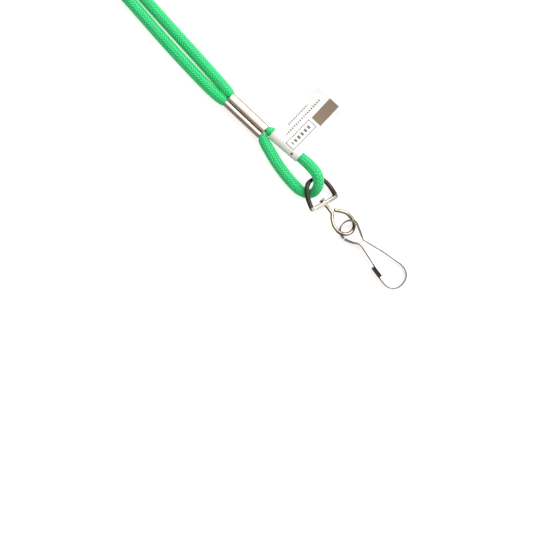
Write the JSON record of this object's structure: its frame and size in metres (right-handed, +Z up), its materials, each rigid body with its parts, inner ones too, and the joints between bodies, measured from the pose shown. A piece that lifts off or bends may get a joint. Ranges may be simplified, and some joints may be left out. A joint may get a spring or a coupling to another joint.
{
  "type": "lanyard badge holder",
  "caption": "Round braided neck cord crimped into a small loop, with a D-ring and a swivel hook of flat spring steel for a badge.",
  "frame": {"origin": "middle of the crimp's flat underside, on the surface the lanyard lies on", "axes": "+X along the crimp towards the hook, +Y to the label's side, +Z up from the surface"},
  "size_m": [0.2826, 0.044, 0.012],
  "materials": {
    "left_cord": "braided polyester, bright green",
    "right_cord": "braided polyester, bright green",
    "hank_cord": "braided polyester, bright green",
    "loop_cord": "braided polyester, bright green",
    "crimped_cord": "braided polyester, pressed flat in the crimp",
    "cord_end_neck": "braid end melted hard by heat sealing",
    "cord_end_loop": "braid end melted hard by heat sealing",
    "tie_paper": "plain pale paper band",
    "crimp_nickel": "bright nickel plate on steel",
    "label_paper": "coated white label paper, semi-matt",
    "ring_nickel": "bright nickel plate on steel",
    "wire_nickel": "bright nickel plate on steel wire",
    "hook_steel": "bright rolled spring steel",
    "gate_steel": "bright rolled spring steel"
  },
  "bodies": {
    "lanyard": {"crimp_sleeve": "crimp_nickel", "crimped_cord": "crimped_cord", "cord_end_neck": "cord_end_neck", "cord_end_loop": "cord_end_loop", "loop_cord": "loop_cord", "neck_cord_left": "left_cord", "neck_cord_right": "right_cord", "neck_cord_hank": "hank_cord", "hank_tie": "tie_paper", "flag_label": "label_paper"},
    "ring": {"d_ring": "ring_nickel"},
    "swivel": {"swivel_eye": "wire_nickel"},
    "hook": {"hook": "hook_steel"},
    "gate": {"hook_gate": "gate_steel"}
  },
  "joints": [
    {"name": "ring_swing", "type": "hinge", "parent": "lanyard", "child": "ring", "pos_m": [0.04183, -0.00232, 0.00409], "axis": [0.2609, 0.2339, 0.9366], "range_deg": [-12, 12]},
    {"name": "swivel_turn", "type": "hinge", "parent": "ring", "child": "swivel", "pos_m": [0.04678, -0.00412, 0.00316], "axis": [0.9902, -0.1392, -0.014], "continuous": true},
    {"name": "hook_swing", "type": "hinge", "parent": "swivel", "child": "hook", "pos_m": [0.05821, -0.00462, 0.00252], "axis": [0.0692, 0.401, 0.9135], "range_deg": [-20, 20]},
    {"name": "gate_open", "type": "hinge", "parent": "hook", "child": "gate", "pos_m": [0.06256, -0.00895, 0.00138], "axis": [0, -0.2924, 0.9563], "range_deg": [0, 12], "stiffness_Nm_per_rad": 0.02}
  ]
}
